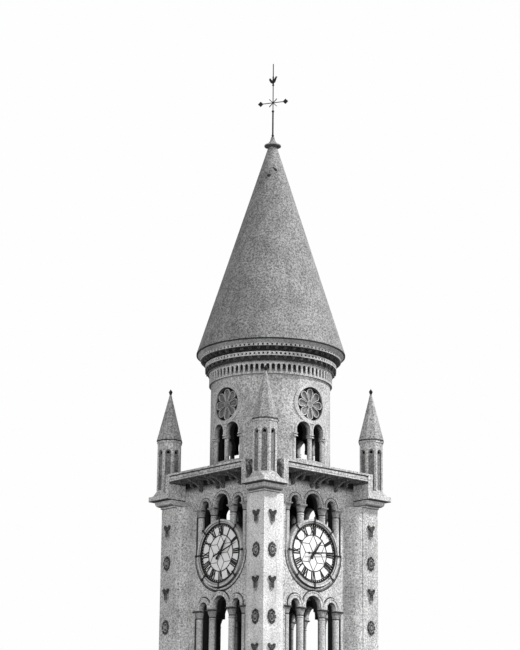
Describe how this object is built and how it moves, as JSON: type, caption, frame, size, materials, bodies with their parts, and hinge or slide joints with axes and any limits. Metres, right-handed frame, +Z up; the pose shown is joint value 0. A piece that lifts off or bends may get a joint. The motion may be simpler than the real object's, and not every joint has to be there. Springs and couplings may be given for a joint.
{
  "type": "clock tower",
  "caption": "Square rendered masonry clock tower with open belfry arcades, four dials, corner turrets, round drum, tall conical spire and a weathercock.",
  "frame": {"origin": "centre of the flat base at ground level", "axes": "+Z up, -Y towards the front with the door, +X towards the right side"},
  "size_m": [7.432, 7.432, 37.161],
  "materials": {
    "render": "matt rendered masonry",
    "dressed_stone": "matt dressed stone",
    "roof": "matt weathered render",
    "iron": "satin black paint",
    "opal_glass": "frosted",
    "oak": "matt",
    "floor": "matt"
  },
  "bodies": {
    "tower": {"arch_band": "dressed_stone", "back_clock_wall": "render", "back_dial_frame": "iron", "back_drum": "render", "back_left_pier": "render", "back_right_pier": "render", "back_shaft_wall": "render", "band_tracery": "dressed_stone", "belfry_columns": "dressed_stone", "belfry_floor": "floor", "cap_stone": "dressed_stone", "clock_columns": "dressed_stone", "clock_floor": "floor", "clock_surrounds": "dressed_stone", "cornice_ring": "dressed_stone", "cornice_strips": "dressed_stone", "dial_glasses": "opal_glass", "door_leaf": "oak", "drum_columns": "dressed_stone", "drum_mouldings": "dressed_stone", "drum_roses": "dressed_stone", "front_clock_wall": "render", "front_dial_frame": "iron", "front_drum": "render", "front_left_pier": "render", "front_right_pier": "render", "front_wall_left": "render", "front_wall_over_door": "render", "front_wall_right": "render", "gallery_brackets": "dressed_stone", "gallery_cheeks": "render", "gallery_deck": "render", "ground_floor": "floor", "left_clock_wall": "render", "left_dial_frame": "iron", "left_drum": "render", "left_shaft_wall": "render", "mast": "iron", "pier_caps": "dressed_stone", "right_clock_wall": "render", "right_dial_frame": "iron", "right_drum": "render", "right_shaft_wall": "render", "shaft_floor": "floor", "spire": "roof", "turret_bodies": "render", "turret_spires": "roof", "turret_tips": "iron"},
    "front_minute_hand": {"front_minute_hand": "iron"},
    "front_hour_hand": {"front_hour_hand": "iron"},
    "right_minute_hand": {"right_minute_hand": "iron"},
    "right_hour_hand": {"right_hour_hand": "iron"},
    "back_minute_hand": {"back_minute_hand": "iron"},
    "back_hour_hand": {"back_hour_hand": "iron"},
    "left_minute_hand": {"left_minute_hand": "iron"},
    "left_hour_hand": {"left_hour_hand": "iron"},
    "weathercock": {"weathercock": "iron"}
  },
  "joints": [
    {"name": "front_minute_turn", "type": "hinge", "parent": "tower", "child": "front_minute_hand", "pos_m": [0, -2.82, 14.252], "axis": [0, 1, 0], "continuous": true},
    {"name": "front_hour_turn", "type": "hinge", "parent": "tower", "child": "front_hour_hand", "pos_m": [0, -2.82, 14.252], "axis": [0, 1, 0], "continuous": true},
    {"name": "right_minute_turn", "type": "hinge", "parent": "tower", "child": "right_minute_hand", "pos_m": [2.82, 0, 14.252], "axis": [-1, 0, 0], "continuous": true},
    {"name": "right_hour_turn", "type": "hinge", "parent": "tower", "child": "right_hour_hand", "pos_m": [2.82, 0, 14.252], "axis": [-1, 0, 0], "continuous": true},
    {"name": "back_minute_turn", "type": "hinge", "parent": "tower", "child": "back_minute_hand", "pos_m": [0, 2.82, 14.252], "axis": [0, -1, 0], "continuous": true},
    {"name": "back_hour_turn", "type": "hinge", "parent": "tower", "child": "back_hour_hand", "pos_m": [0, 2.82, 14.252], "axis": [0, -1, 0], "continuous": true},
    {"name": "left_minute_turn", "type": "hinge", "parent": "tower", "child": "left_minute_hand", "pos_m": [-2.82, 0, 14.252], "axis": [1, 0, 0], "continuous": true},
    {"name": "left_hour_turn", "type": "hinge", "parent": "tower", "child": "left_hour_hand", "pos_m": [-2.82, 0, 14.252], "axis": [1, 0, 0], "continuous": true},
    {"name": "weathercock_turn", "type": "hinge", "parent": "tower", "child": "weathercock", "pos_m": [0, 0, 36.3], "axis": [0, 0, 1], "continuous": true}
  ],
  "couplings": [
    {"joint": "front_hour_turn", "follows": "front_minute_turn", "ratio": 0.083333},
    {"joint": "right_minute_turn", "follows": "front_minute_turn", "ratio": 1},
    {"joint": "right_hour_turn", "follows": "front_minute_turn", "ratio": 0.083333},
    {"joint": "back_minute_turn", "follows": "front_minute_turn", "ratio": 1},
    {"joint": "back_hour_turn", "follows": "front_minute_turn", "ratio": 0.083333},
    {"joint": "left_minute_turn", "follows": "front_minute_turn", "ratio": 1},
    {"joint": "left_hour_turn", "follows": "front_minute_turn", "ratio": 0.083333}
  ]
}
